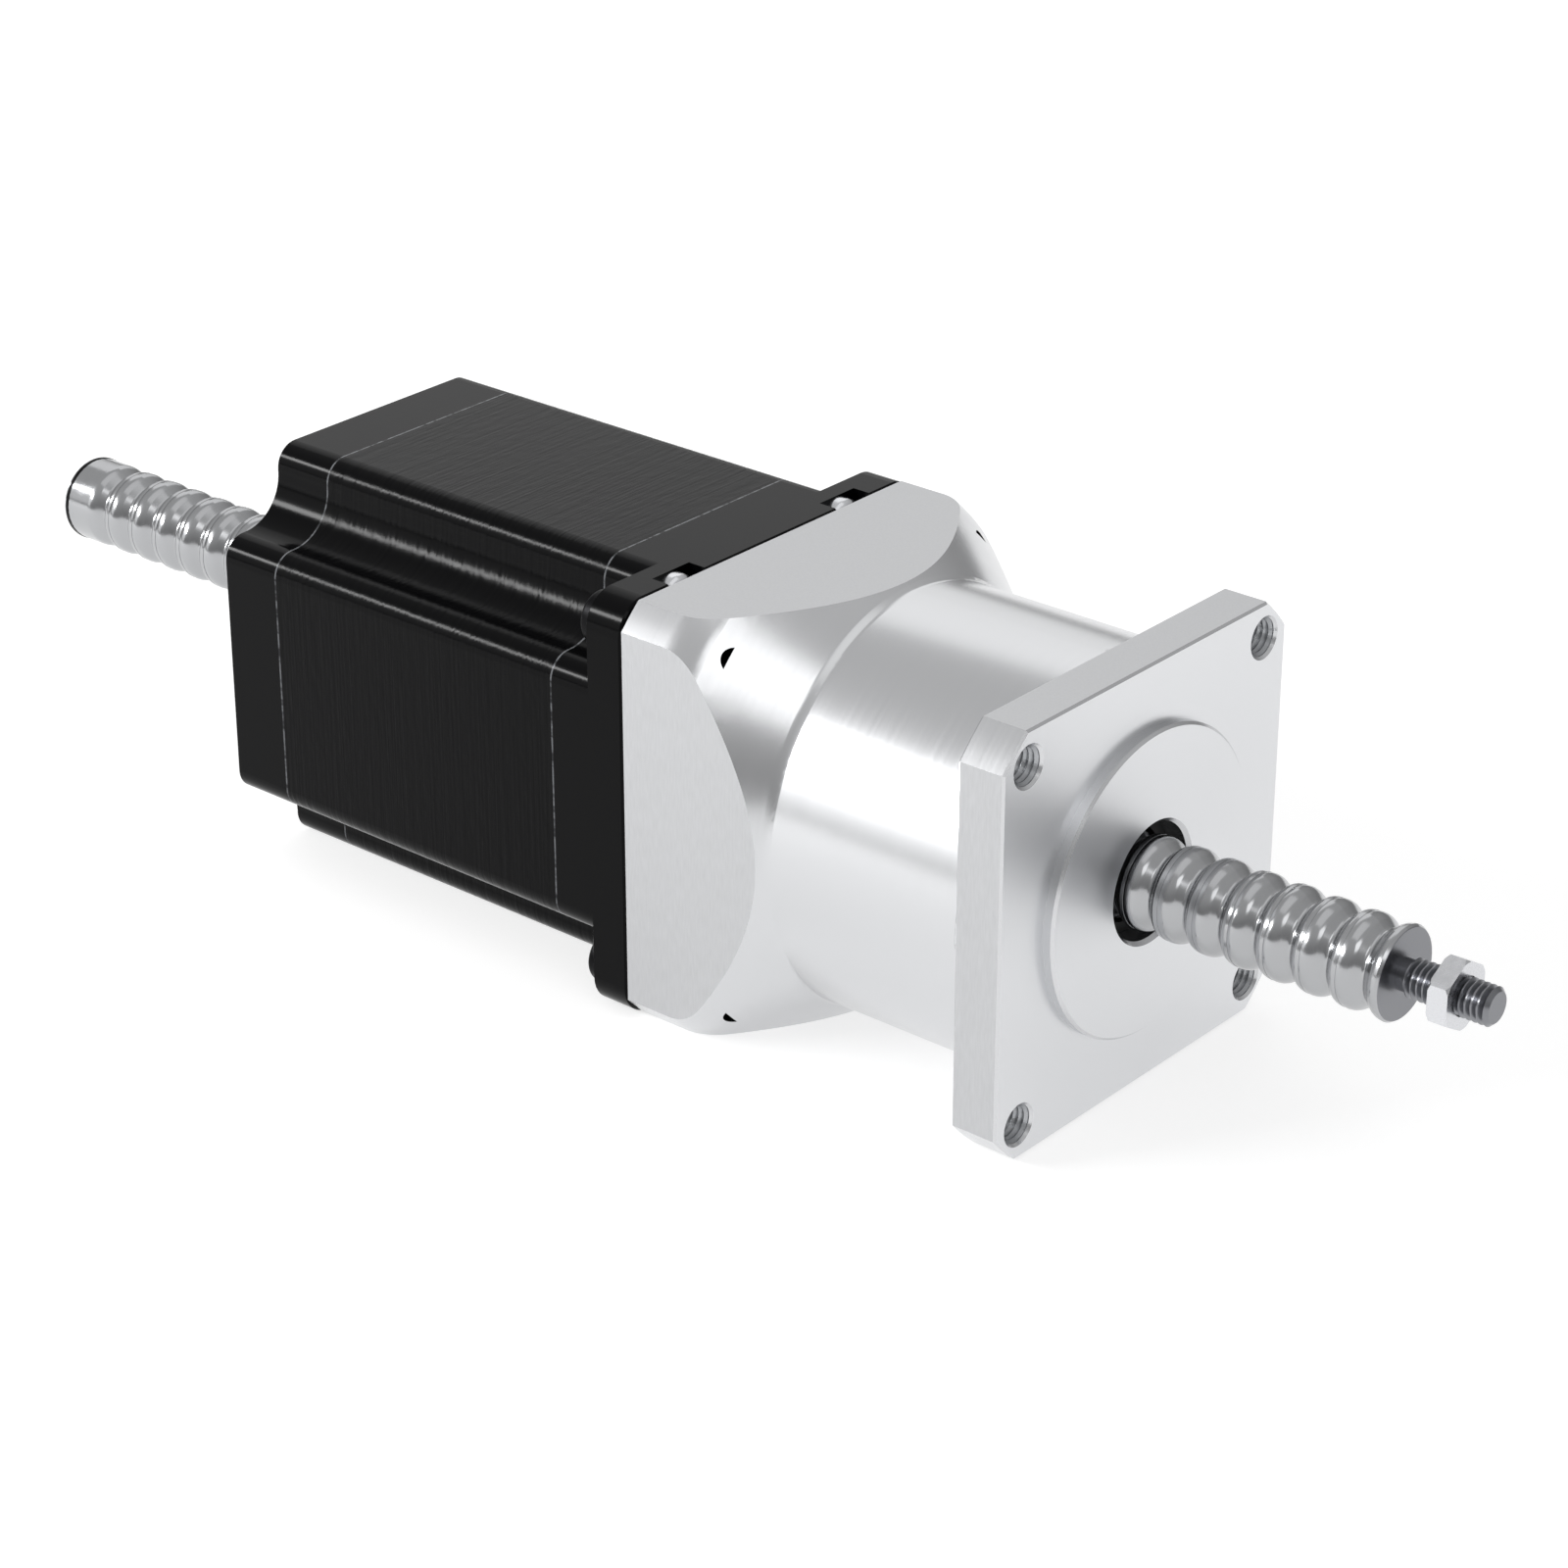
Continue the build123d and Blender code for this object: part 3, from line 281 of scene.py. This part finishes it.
    # Shares of the colour, a painted shade set by the face's direction: a little greyer on round
    # parts, and greyest on the flats, where the grain also varies it at random
    turned_shade = add_node(tree, "ShaderNodeMix", {0: is_end, 2: 0.87, 3: 1.03})
    flat_grain_and_shade = add_node(tree, "ShaderNodeMapRange", {
        "Value": grain.outputs["Fac"], "From Min": 0.25, "From Max": 0.75,
        "To Min": 0.68, "To Max": 0.76})
    shade_and_grain_tone = add_node(tree, "ShaderNodeMix", {
        0: is_flat, 2: turned_shade.outputs[0], 3: flat_grain_and_shade.outputs[0]})
    colour = add_node(tree, "ShaderNodeVectorMath", {
        0: linear(colours.aluminium)[:3], "Scale": shade_and_grain_tone.outputs[0]}, operation="SCALE")
    tree.links.new(colour.outputs[0], shader.inputs["Base Color"])
    shader.inputs["Anisotropic"].default_value = 0.45
    tangent = add_node(tree, "ShaderNodeTangent", direction_type="RADIAL", axis="X")
    tree.links.new(tangent.outputs[0], shader.inputs["Tangent"])
    return material


def painted_seam_highlights(tree, shader, place, colours, sizes):
    """A painted highlight in a hair line where two pieces of the motor's body meet: it draws the
    seams in light grey, as if their edges caught the light, stronger and weaker in runs of about 1
    mm."""
    parts = add_node(tree, "ShaderNodeSeparateXYZ", {0: place.outputs["Object"]})
    ragged = drawn_out_marks(tree, place.outputs["Object"], (0, 900, 900), 4.0)
    lines = []
    for seam in (sizes.front_seam, sizes.rear_seam):
        offset = add_node(tree, "ShaderNodeMath", {0: parts.outputs[0], 1: seam},
                          operation="SUBTRACT")
        away = add_node(tree, "ShaderNodeMath", {0: offset.outputs[0]}, operation="ABSOLUTE")
        lines.append(add_node(tree, "ShaderNodeMapRange", {
            "Value": away.outputs[0],
            "From Min": sizes.seam_width * 0.4, "From Max": sizes.seam_width * 0.5,
            "To Min": 1.0, "To Max": 0.0}).outputs[0])
    line = add_node(tree, "ShaderNodeMath", {0: lines[0], 1: lines[1]}, operation="MAXIMUM")
    highlit = add_node(tree, "ShaderNodeMapRange", {
        "Value": ragged.outputs["Fac"], "From Min": 0.38, "From Max": 0.55,
        "To Min": 0.1, "To Max": 0.6})
    share = add_node(tree, "ShaderNodeMath", {0: line.outputs[0], 1: highlit.outputs[0]},
                     operation="MULTIPLY")
    # Painted highlight: the seam lines take the light grey over the black paint
    colour = add_node(tree, "ShaderNodeMix", {
        0: share.outputs[0], 6: linear(colours.paint), 7: linear(colours.highlit)}, data_type="RGBA")
    tree.links.new(colour.outputs[2], shader.inputs["Base Color"])


def black_enamel(colours, sizes):
    """Sprayed black enamel on metal: a deep colour under a soft gloss, slightly uneven with the
    spray's peel in waves of about 0.7 mm."""
    material, tree, shader = new_finish("black_enamel", colours.paint, 0.0, 0.15)
    shader.inputs["Specular IOR Level"].default_value = ENAMEL_SPECULAR
    place = add_node(tree, "ShaderNodeTexCoord")
    peel = add_node(tree, "ShaderNodeTexNoise", {
        "Vector": place.outputs["Object"], "Scale": 1500.0, "Detail": 2.0})
    bump = add_node(tree, "ShaderNodeBump", {
        "Strength": 0.12, "Distance": 0.03 * MM, "Height": peel.outputs["Fac"]})
    tree.links.new(bump.outputs[0], shader.inputs["Normal"])
    # Painted highlights along the seams
    painted_seam_highlights(tree, shader, place, colours, sizes)
    return material


def painted_laminations(colours, sizes):
    """Black enamel over stacked steel sheets: their edges show as fine lines across the stack,
    broken by blotches of about 1 by 3 mm where the paint lies thicker."""
    material, tree, shader = new_finish("painted_laminations", colours.paint, 0.0)
    shader.inputs["Specular IOR Level"].default_value = ENAMEL_SPECULAR
    place = add_node(tree, "ShaderNodeTexCoord")
    sheets = drawn_out_marks(
        tree, place.outputs["Object"], (1 / sizes.lamination_pitch, 30, 30), 3.0)
    blotches = drawn_out_marks(tree, place.outputs["Object"], (900, 350, 350), 4.0)
    height = add_node(tree, "ShaderNodeMath", {
        0: sheets.outputs["Fac"], 1: blotches.outputs["Fac"]}, operation="ADD")
    bump = add_node(tree, "ShaderNodeBump", {
        "Strength": 0.8, "Distance": 0.06 * MM, "Height": height.outputs[0]})
    tree.links.new(bump.outputs[0], shader.inputs["Normal"])
    rough = add_node(tree, "ShaderNodeMapRange", {
        "Value": sheets.outputs["Fac"], "From Min": 0.3, "From Max": 0.7,
        "To Min": 0.14, "To Max": 0.22})
    tree.links.new(rough.outputs[0], shader.inputs["Roughness"])
    # Painted highlights along the seams
    painted_seam_highlights(tree, shader, place, colours, sizes)
    return material


def ringed_steel(name, colour, roughness, pitch):
    """Ground steel with faint rings about the axis, which draw its highlights out. A ring stays
    even for about 50 mm of its way round."""
    material, tree, shader = new_finish(name, colour, 1.0)
    place = add_node(tree, "ShaderNodeTexCoord")
    rings = drawn_out_marks(tree, place.outputs["Object"], (1 / pitch, 20, 20), 3.0)
    bump = add_node(tree, "ShaderNodeBump", {
        "Strength": 0.1, "Distance": 0.01 * MM, "Height": rings.outputs["Fac"]})
    tree.links.new(bump.outputs[0], shader.inputs["Normal"])
    rough = add_node(tree, "ShaderNodeMapRange", {
        "Value": rings.outputs["Fac"], "From Min": 0.3, "From Max": 0.7,
        "To Min": roughness * 0.8, "To Max": roughness * 1.25})
    tree.links.new(rough.outputs[0], shader.inputs["Roughness"])
    return material


def polished_screw(colours, sizes):
    """Ground and polished screw steel with clear, slightly clouded reflections, greyer and rougher
    where it is cut: its end face and the stud's thread. A cloud is about 0.7 by 2.5 mm."""
    material, tree, shader = new_finish("polished_screw_steel", colours.screw, 1.0)
    place = add_node(tree, "ShaderNodeTexCoord")
    parts = add_node(tree, "ShaderNodeSeparateXYZ", {0: place.outputs["Object"]})
    cut = add_node(tree, "ShaderNodeMapRange", {
        "Value": parts.outputs[0], "From Min": sizes.screw_face - 0.1 * MM,
        "From Max": sizes.screw_face - 0.05 * MM}).outputs[0]
    colour = add_node(tree, "ShaderNodeMix", {
        0: cut, 6: linear(colours.screw), 7: linear(colours.stud)}, data_type="RGBA")
    tree.links.new(colour.outputs[2], shader.inputs["Base Color"])
    cloud = drawn_out_marks(tree, place.outputs["Object"], (1500, 400, 400), 3.0)
    smooth = add_node(tree, "ShaderNodeMapRange", {
        "Value": cloud.outputs["Fac"], "From Min": 0.3, "From Max": 0.7,
        "To Min": 0.15, "To Max": 0.22})
    rough = add_node(tree, "ShaderNodeMix", {0: cut, 2: smooth.outputs[0], 3: 0.28})
    tree.links.new(rough.outputs[0], shader.inputs["Roughness"])
    bump = add_node(tree, "ShaderNodeBump", {
        "Strength": 0.05, "Distance": 0.02 * MM, "Height": cloud.outputs["Fac"]})
    tree.links.new(bump.outputs[0], shader.inputs["Normal"])
    return material


def clouded_metal(name, colour, roughness):
    """Plated, blackened or plainly cut metal: its gloss is slightly uneven in spots of 1 mm."""
    material, tree, shader = new_finish(name, colour, 1.0)
    place = add_node(tree, "ShaderNodeTexCoord")
    cloud = add_node(tree, "ShaderNodeTexNoise", {
        "Vector": place.outputs["Object"], "Scale": 900.0, "Detail": 4.0})
    rough = add_node(tree, "ShaderNodeMapRange", {
        "Value": cloud.outputs["Fac"], "From Min": 0.3, "From Max": 0.7,
        "To Min": roughness * 0.75, "To Max": roughness * 1.3})
    tree.links.new(rough.outputs[0], shader.inputs["Roughness"])
    return material


def moulded_plastic(name, colour, roughness):
    """Moulded plastic or rubber: the mould's grain of 0.25 mm keeps its reflections matte."""
    material, tree, shader = new_finish(name, colour, 0.0, roughness)
    place = add_node(tree, "ShaderNodeTexCoord")
    grain = add_node(tree, "ShaderNodeTexNoise", {
        "Vector": place.outputs["Object"], "Scale": 4000.0, "Detail": 2.0})
    bump = add_node(tree, "ShaderNodeBump", {
        "Strength": 0.15, "Distance": 0.02 * MM, "Height": grain.outputs["Fac"]})
    tree.links.new(bump.outputs[0], shader.inputs["Normal"])
    return material


def enamelled_wire(colours, sizes):
    """Copper winding wire: round turns side by side, which glint in thin bright lines. They are
    drawn about 1.3 times as far apart as the wire is thick."""
    material, tree, shader = new_finish("enamelled_wire", colours.copper, 1.0, 0.32)
    place = add_node(tree, "ShaderNodeTexCoord")
    wave = add_node(tree, "ShaderNodeTexWave", {
        "Vector": place.outputs["Object"], "Scale": 3 / (2 * math.pi * sizes.wire_diameter),
        "Distortion": 1.0}, bands_direction="DIAGONAL")
    bump = add_node(tree, "ShaderNodeBump", {
        "Strength": 0.6, "Distance": 0.2 * MM, "Height": wave.outputs["Fac"]})
    tree.links.new(bump.outputs[0], shader.inputs["Normal"])
    return material


# Pieces modelled here

def lathe(name, profile, place):
    """A surface turned about a line along X through a place, from its (x, radius) profile."""
    mesh = bmesh.new()
    start = [mesh.verts.new((x, radius, 0)) for x, radius in profile]
    edges = [mesh.edges.new(pair) for pair in zip(start, start[1:])]
    bmesh.ops.spin(mesh, geom=start + edges, cent=(0, 0, 0), axis=(1, 0, 0), angle=2 * math.pi,
                   steps=RIDGE_STEPS, use_merge=True)
    bmesh.ops.remove_doubles(mesh, verts=mesh.verts, dist=1e-7)
    bmesh.ops.recalc_face_normals(mesh, faces=mesh.faces)
    data = bpy.data.meshes.new(name)
    mesh.to_mesh(data)
    mesh.free()
    piece = bpy.data.objects.new(name, data)
    piece.location = place
    bpy.context.scene.collection.objects.link(piece)
    return piece


def hole_thread(name, place, sizes):
    """The thread's ridges inside one of the flange's corner holes, a sleeve on the hole's wall."""
    root = sizes.flange_hole_radius
    crest = root - sizes.thread_depth
    crest_flat = sizes.thread_pitch / 8     # as on any metric thread
    turns = int((sizes.flange_thickness - 2 * sizes.thread_lead_in) / sizes.thread_pitch)
    front = -sizes.thread_lead_in
    profile = []
    for turn in range(turns):
        x = front - turn * sizes.thread_pitch
        half = x - sizes.thread_pitch / 2
        profile += [(x, root), (half + crest_flat / 2, crest), (half - crest_flat / 2, crest)]
    rear = front - turns * sizes.thread_pitch
    wall = root + sizes.thread_backing
    profile += [(rear, root), (rear, wall), (front, wall), (front, root)]
    return lathe(name, profile, place)


# Stage

def studio_floor(colours):
    """A wide floor, grey to the lamps' light so that it throws little of it at the part, and
    lifted to near white where it is seen. It keeps the part's shadow."""
    mesh = bpy.data.meshes.new("studio_floor")
    reach = 6.0
    corners = [(-reach, -reach, 0), (reach, -reach, 0), (reach, reach, 0), (-reach, reach, 0)]
    mesh.from_pydata(corners, [], [(0, 1, 2, 3)])
    floor = bpy.data.objects.new("studio_floor", mesh)
    floor.location.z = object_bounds()[0][2]
    bpy.context.scene.collection.objects.link(floor)
    material, tree, shader = new_finish("pale_floor", colours.floor, 0.0, 0.9)
    shader.inputs["Specular IOR Level"].default_value = 0.1
    rays = add_node(tree, "ShaderNodeLightPath")
    direct = add_node(tree, "ShaderNodeMath", {
        0: rays.outputs["Is Camera Ray"], 1: rays.outputs["Is Glossy Ray"]}, operation="MAXIMUM")
    seen = add_node(tree, "ShaderNodeMath", {
        0: direct.outputs[0], 1: rays.outputs["Is Transmission Ray"]}, operation="MAXIMUM")

    # The lamps reach the floor less with distance, so it is lifted more there
    place = add_node(tree, "ShaderNodeTexCoord")
    distance = add_node(tree, "ShaderNodeVectorMath", {0: place.outputs["Object"]},
                        operation="LENGTH")
    level = add_node(tree, "ShaderNodeMapRange", {
        "Value": distance.outputs["Value"], "From Min": 0.3, "From Max": 1.5,
        "To Min": 0.66, "To Max": 0.9})
    lift = add_node(tree, "ShaderNodeMath", {0: seen.outputs[0], 1: level.outputs[0]},
                    operation="MULTIPLY")
    shader.inputs["Emission Color"].default_value = (1, 1, 1, 1)
    tree.links.new(lift.outputs[0], shader.inputs["Emission Strength"])
    mesh.materials.append(material)
    floor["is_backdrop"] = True


def studio_world():
    """A plain room, brighter overhead than round the horizon."""
    world = bpy.data.worlds.new("studio_room")
    world.use_nodes = True
    bpy.context.scene.world = world
    tree = world.node_tree
    way = add_node(tree, "ShaderNodeTexCoord")
    parts = add_node(tree, "ShaderNodeSeparateXYZ", {0: way.outputs["Generated"]})
    level = add_node(tree, "ShaderNodeMapRange", {
        "Value": parts.outputs[2], "From Min": 0.1, "From Max": 0.7, "To Min": 0.3, "To Max": 0.6})
    background = tree.nodes["Background"]
    background.inputs["Color"].default_value = (1, 1, 1, 1)
    tree.links.new(level.outputs[0], background.inputs["Strength"])


def soft_lamp(name, place, aim, width, height, power):
    """A rectangular softbox aimed at a point."""
    light = bpy.data.lights.new(name, "AREA")
    light.shape = "RECTANGLE"
    light.size = width
    light.size_y = height
    light.energy = power
    lamp = bpy.data.objects.new(name, light)
    lamp.location = place
    lamp.rotation_euler = (Vector(aim) - Vector(place)).to_track_quat("-Z", "Y").to_euler()
    bpy.context.scene.collection.objects.link(lamp)


def studio_lamps():
    """Softboxes overhead, at the left, behind and in front at the right, and a thin strip above
    the left one, which draws the bright lines in the notches along the motor's corners."""
    middle = Vector((-0.06, 0, 0))
    for name, way, distance, width, height, power in (
            ("top_light", (0.1, 0.0, 1.0), 1.0, 0.9, 0.8, 0.9),
            ("left_light", (-0.58, -0.70, 0.34), 1.15, 0.5, 0.7, 0.9),
            ("strip_light", (-0.58, -0.67, 0.47), 1.0, 0.5, 0.12, 6.0),
            ("back_light", (-0.62, 0.60, 0.50), 1.1, 0.8, 0.8, 1.3),
            ("front_light", (0.68, -0.38, 0.63), 1.1, 0.4, 0.4, 0.7)):
        soft_lamp(name, middle + Vector(way).normalized() * distance, middle, width, height, power)


def studio_camera():
    """The camera at the photograph's angle: all its numbers were fitted to the photograph."""
    aim = Vector((-53.94, -2.89, -3.30)) * MM
    turn = math.radians(40.25)
    rise = math.radians(26.01)
    distance = 530.23 * MM
    back = Vector((math.sin(turn) * math.cos(rise), -math.cos(turn) * math.cos(rise),
                   math.sin(rise)))
    data = bpy.data.cameras.new("photo_camera")
    data.sensor_width = 36.0
    data.lens = 95.62
    data.clip_start = 0.01
    camera = bpy.data.objects.new("photo_camera", data)
    camera.location = aim + back * distance
    camera.rotation_euler = back.to_track_quat("Z", "Y").to_euler()
    bpy.context.scene.collection.objects.link(camera)
    bpy.context.scene.camera = camera


# Operators

class MOTOR_OT_stage(bpy.types.Operator):
    """Set up the floor, the room, the lamps and the camera"""
    bl_idname = "motor.stage"
    bl_label = "Studio stage"

    def execute(self, context):
        studio_floor(context.scene.motor_colours)
        studio_world()
        studio_lamps()
        studio_camera()
        context.scene.view_settings.view_transform = "Standard"
        return {"FINISHED"}


class MOTOR_OT_housing(bpy.types.Operator):
    """Finish the aluminium housing and thread the flange's holes"""
    bl_idname = "motor.housing"
    bl_label = "Aluminium housing"

    def execute(self, context):
        colours = context.scene.motor_colours
        sizes = context.scene.motor_sizes
        dress(["front_housing"], machined_aluminium(colours, sizes))
        # Tapped aluminium, darker than the housing's as a painted shade in the holes: its crests
        # glint against the shade there
        tapped = clouded_metal("tapped_aluminium", colours.tapped, 0.3)
        half = sizes.bolt_half
        corners = ((-half, -half), (-half, half), (half, -half), (half, half))
        for number, (y, z) in enumerate(corners, 1):
            piece = hole_thread(f"flange_thread_{number}", (0, y, z), sizes)
            piece.data.materials.append(tapped)
            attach(piece, "housing")
        return {"FINISHED"}


class MOTOR_OT_painted_motor(bpy.types.Operator):
    """Finish the black end caps and the laminated stack"""
    bl_idname = "motor.painted_motor"
    bl_label = "Painted motor"

    def execute(self, context):
        colours = context.scene.motor_colours
        sizes = context.scene.motor_sizes
        dress(["front_end_cap", "rear_end_cap"], black_enamel(colours, sizes))
        dress(["stator_laminations"], painted_laminations(colours, sizes))
        return {"FINISHED"}


class MOTOR_OT_screw(bpy.types.Operator):
    """Finish the ball screw with its stop ring and stud nut"""
    bl_idname = "motor.screw"
    bl_label = "Ball screw"

    def execute(self, context):
        colours = context.scene.motor_colours
        dress(["ball_screw"], polished_screw(colours, context.scene.motor_sizes))
        # Bright zinc plate: silvery, with soft reflections
        dress(["stud_nut"], clouded_metal("bright_zinc_nut", colours.zinc, 0.25))
        # Black oxide: near black, with a dull sheen
        dress(["screw_stop_ring"], clouded_metal("black_oxide_ring", colours.black_oxide, 0.4))
        return {"FINISHED"}


class MOTOR_OT_fasteners(bpy.types.Operator):
    """Finish the screws that hold the motor together"""
    bl_idname = "motor.fasteners"
    bl_label = "Fasteners"

    def execute(self, context):
        colours = context.scene.motor_colours
        # Black oxide: near black, with a dull sheen
        dress(["mounting_screws", "nut_clamp_screws"],
              clouded_metal("black_oxide_screw", colours.black_oxide, 0.38))
        # Bright zinc plate: silvery, with soft reflections
        dress(["tie_screws"], clouded_metal("bright_zinc_screw", colours.zinc, 0.22))
        return {"FINISHED"}


class MOTOR_OT_nut_and_bearings(bpy.types.Operator):
    """Finish the ball nut, the bearings and the seals"""
    bl_idname = "motor.nut_and_bearings"
    bl_label = "Ball nut and bearings"

    def execute(self, context):
        colours = context.scene.motor_colours
        sizes = context.scene.motor_sizes
        # Ground bearing steel: bright, with highlights drawn out round the axis
        dress(["ball_nut", "nut_balls", "nut_bearing_outer_rings", "nut_bearing_inner_rings",
               "nut_bearing_balls", "bearing_retainer", "bearing_locknut",
               "rear_bearing_outer_ring", "rear_bearing_inner_ring", "rear_bearing_balls",
               "rear_wave_washer", "hollow_shaft"],
              ringed_steel("ground_bearing_steel", colours.screw, 0.2, sizes.grinding_pitch))
        # Moulded nylon: black, with a soft broad sheen
        dress(["nut_deflectors", "nut_wiper_front", "nut_wiper_rear", "nut_bearing_cages",
               "rear_bearing_cage", "rear_guide_bush"],
              moulded_plastic("black_nylon", colours.nylon, 0.5))
        # Moulded nitrile rubber: black and duller than the nylon
        dress(["front_wiper", "lead_grommet"],
              moulded_plastic("black_nitrile_rubber", colours.rubber, 0.6))
        return {"FINISHED"}


class MOTOR_OT_windings_and_cores(bpy.types.Operator):
    """Finish the windings, their insulators, the rotor cores and the magnet"""
    bl_idname = "motor.windings_and_cores"
    bl_label = "Windings and cores"

    def execute(self, context):
        colours = context.scene.motor_colours
        sizes = context.scene.motor_sizes
        dress(["stator_coils"], enamelled_wire(colours, sizes))
        # Moulded nylon, uncoloured: cream, with a soft broad sheen
        dress(["winding_insulator_front", "winding_insulator_rear"],
              moulded_plastic("cream_nylon", colours.insulator, 0.5))
        # Stacked core steel, ground round: grey and duller than bearing steel
        dress(["rotor_core_front", "rotor_core_rear"],
              ringed_steel("core_steel", colours.core_steel, 0.35, sizes.core_pitch))
        # Sintered magnet: dark grey, with a weak, blurred reflection
        dress(["rotor_magnet"], clouded_metal("sintered_magnet", colours.magnet, 0.45))
        return {"FINISHED"}


class MOTOR_PT_panel(bpy.types.Panel):
    """Lists the motor's pieces"""
    bl_idname = "MOTOR_PT_panel"
    bl_label = "Ball screw motor"
    bl_space_type = "VIEW_3D"
    bl_region_type = "UI"
    bl_category = "Motor"

    def draw(self, context):
        for operator in operators:
            self.layout.operator(operator.bl_idname)


operators = [MOTOR_OT_stage, MOTOR_OT_housing, MOTOR_OT_painted_motor, MOTOR_OT_screw,
             MOTOR_OT_fasteners, MOTOR_OT_nut_and_bearings, MOTOR_OT_windings_and_cores]
classes = [MotorSizes, MotorColours, *operators, MOTOR_PT_panel]


def register():
    for cls in classes:
        bpy.utils.register_class(cls)
    bpy.types.Scene.motor_sizes = bpy.props.PointerProperty(type=MotorSizes)
    bpy.types.Scene.motor_colours = bpy.props.PointerProperty(type=MotorColours)


def unregister():
    del bpy.types.Scene.motor_colours
    del bpy.types.Scene.motor_sizes
    for cls in reversed(classes):
        bpy.utils.unregister_class(cls)


def main():
    """Make every piece in order."""
    register()
    for operator in operators:
        group, name = operator.bl_idname.split(".")
        getattr(getattr(bpy.ops, group), name)()


if __name__ == "__main__":
    main()
